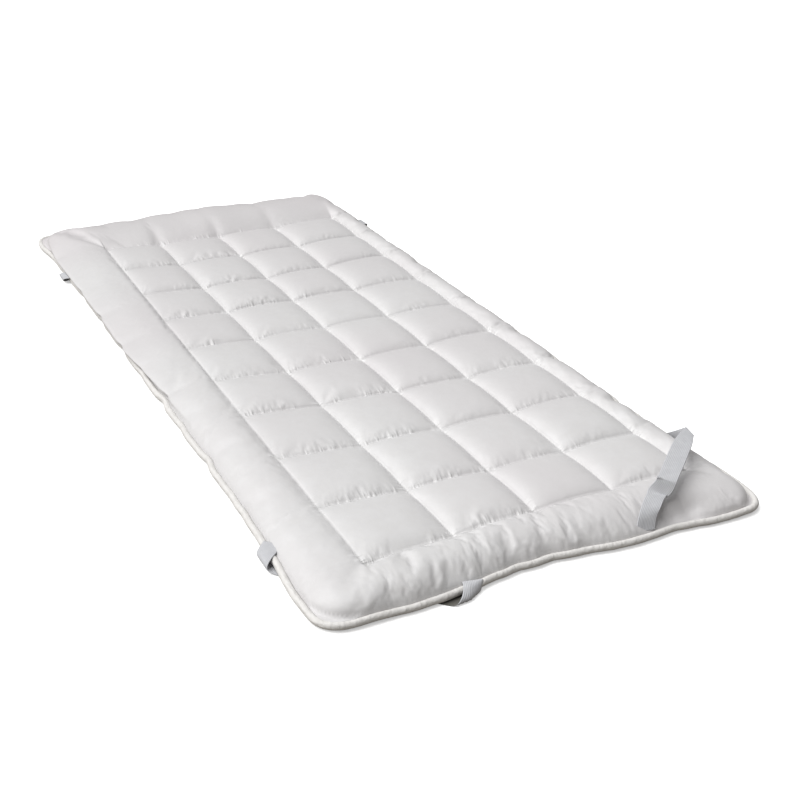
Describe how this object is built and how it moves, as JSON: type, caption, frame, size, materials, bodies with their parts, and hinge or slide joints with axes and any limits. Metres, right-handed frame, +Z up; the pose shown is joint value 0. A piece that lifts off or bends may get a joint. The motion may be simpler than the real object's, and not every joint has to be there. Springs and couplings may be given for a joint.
{
  "type": "mattress pad",
  "caption": "Quilted, fibre-filled mattress pad with box-stitched cells, a rolled border, corded piping round the edge and elastic corner straps.",
  "frame": {"origin": "centre of the footprint, on the surface that the pad lies on", "axes": "+Y along the pad's length, from the end with the standing strap to the far end; +X across it to its right; +Z up"},
  "size_m": [0.8745, 2.0168, 0.0807],
  "materials": {
    "cover": "white satin weave",
    "piping": "white woven cord cover",
    "elastic": "matt woven elastic"
  },
  "bodies": {
    "root": {"pad": "cover", "piping": "piping", "strap_near_left": "elastic", "strap_far_left": "elastic", "strap_far_right": "elastic", "strap_near_right": "elastic"}
  },
  "joints": []
}
